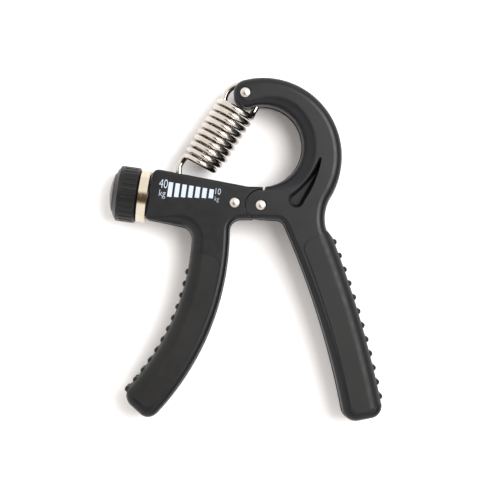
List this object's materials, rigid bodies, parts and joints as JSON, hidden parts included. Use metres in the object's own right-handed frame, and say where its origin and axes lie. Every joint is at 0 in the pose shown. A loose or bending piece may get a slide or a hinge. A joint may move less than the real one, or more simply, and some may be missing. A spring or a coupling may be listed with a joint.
{
  "type": "hand grip strengthener",
  "caption": "Two curved handles hinged together, held open by a coil spring whose hook is moved by a fluted knob to set the force of the squeeze.",
  "frame": {"origin": "under the middle of the whole object's box, on the surface it lies on", "axes": "object lies on its side: +Z along the hinge pin, +Y from the handle tips to the hooked arm, +X from the adjusting knob to the hooked handle"},
  "size_m": [0.1244, 0.1562, 0.0254],
  "materials": {
    "body_plastic": "satin black moulded plastic with a fine spark texture",
    "grip_rubber": "soft matt black rubber",
    "knob_plastic": "satin black fluted plastic",
    "cap_plastic": "satin black plastic cap",
    "collar_metal": "pale champagne plated ring, polished",
    "pin_nickel": "nickel-plated pin, satin",
    "spring_nickel": "nickel-plated spring wire, polished",
    "inner_steel": "plain steel",
    "brass": "machined brass",
    "nylon": "natural nylon",
    "scale_print": "pad-printed pale marks"
  },
  "bodies": {
    "adjuster_handle": {"left_body": "body_plastic", "left_grip": "grip_rubber", "hinge_link": "inner_steel", "hinge_washers": "nylon", "hinge_pin": "pin_nickel", "link_pin": "pin_nickel", "collar": "collar_metal", "end_bush": "brass", "thrust_washer": "nylon", "scale_bars": "scale_print"},
    "hook_handle": {"right_body": "body_plastic", "right_grip": "grip_rubber"},
    "adjuster_screw": {"leadscrew": "inner_steel", "retaining_clip": "inner_steel", "knob": "knob_plastic", "knob_cap": "cap_plastic", "knob_screw": "inner_steel"},
    "slider": {"slider": "brass", "slider_pin": "inner_steel"},
    "spring_pin": {"spring_pin": "pin_nickel"},
    "spring_head": {"spring_loop": "spring_nickel"},
    "spring_coils": {"spring_coils": "spring_nickel"},
    "spring_foot": {"spring_hook": "spring_nickel"}
  },
  "joints": [
    {"name": "handle_squeeze", "type": "hinge", "parent": "adjuster_handle", "child": "hook_handle", "pos_m": [0.00687, 0.01998, 0.0127], "axis": [0, 0, -1], "range_deg": [0, 38], "stiffness_Nm_per_rad": 12, "springref_deg": -0.57},
    {"name": "knob_turn", "type": "hinge", "parent": "adjuster_handle", "child": "adjuster_screw", "pos_m": [-0.04383, 0.02378, 0.0127], "axis": [0.9903, -0.1392, 0], "range_deg": [-1804, 364]},
    {"name": "slider_travel", "type": "slide", "parent": "adjuster_handle", "child": "slider", "axis": [-0.9903, 0.1392, 0], "range_m": [-0.01, 0.002]},
    {"name": "spring_pin_turn", "type": "hinge", "parent": "hook_handle", "child": "spring_pin", "pos_m": [-0.00013, 0.07088, 0.0127], "axis": [0, 0, 1], "range_deg": [0, 11.69]},
    {"name": "spring_swing", "type": "hinge", "parent": "spring_pin", "child": "spring_head", "pos_m": [-0.00013, 0.07088, 0.0127], "axis": [0, 0, 1], "range_deg": [-2.51, 11.48]},
    {"name": "spring_stretch", "type": "slide", "parent": "spring_head", "child": "spring_coils", "axis": [-0.5407, -0.8412, 0], "range_m": [0, 0.02002], "deforming": ["spring_coils"]},
    {"name": "spring_take_up", "type": "slide", "parent": "spring_coils", "child": "spring_foot", "axis": [-0.5407, -0.8412, 0], "range_m": [-0.00337, 0.00074], "deforming": ["spring_hook"]}
  ],
  "couplings": [
    {"joint": "knob_turn", "follows": "slider_travel", "rad_per_m": 3141.6},
    {"joint": "spring_pin_turn", "follows": "handle_squeeze", "ratio": 0.30163},
    {"joint": "spring_swing", "follows": "slider_travel", "rad_per_m": -19.567},
    {"joint": "spring_stretch", "follows": "handle_squeeze", "m_per_rad": 0.029598},
    {"joint": "spring_take_up", "follows": "slider_travel", "ratio": 0.32917}
  ]
}
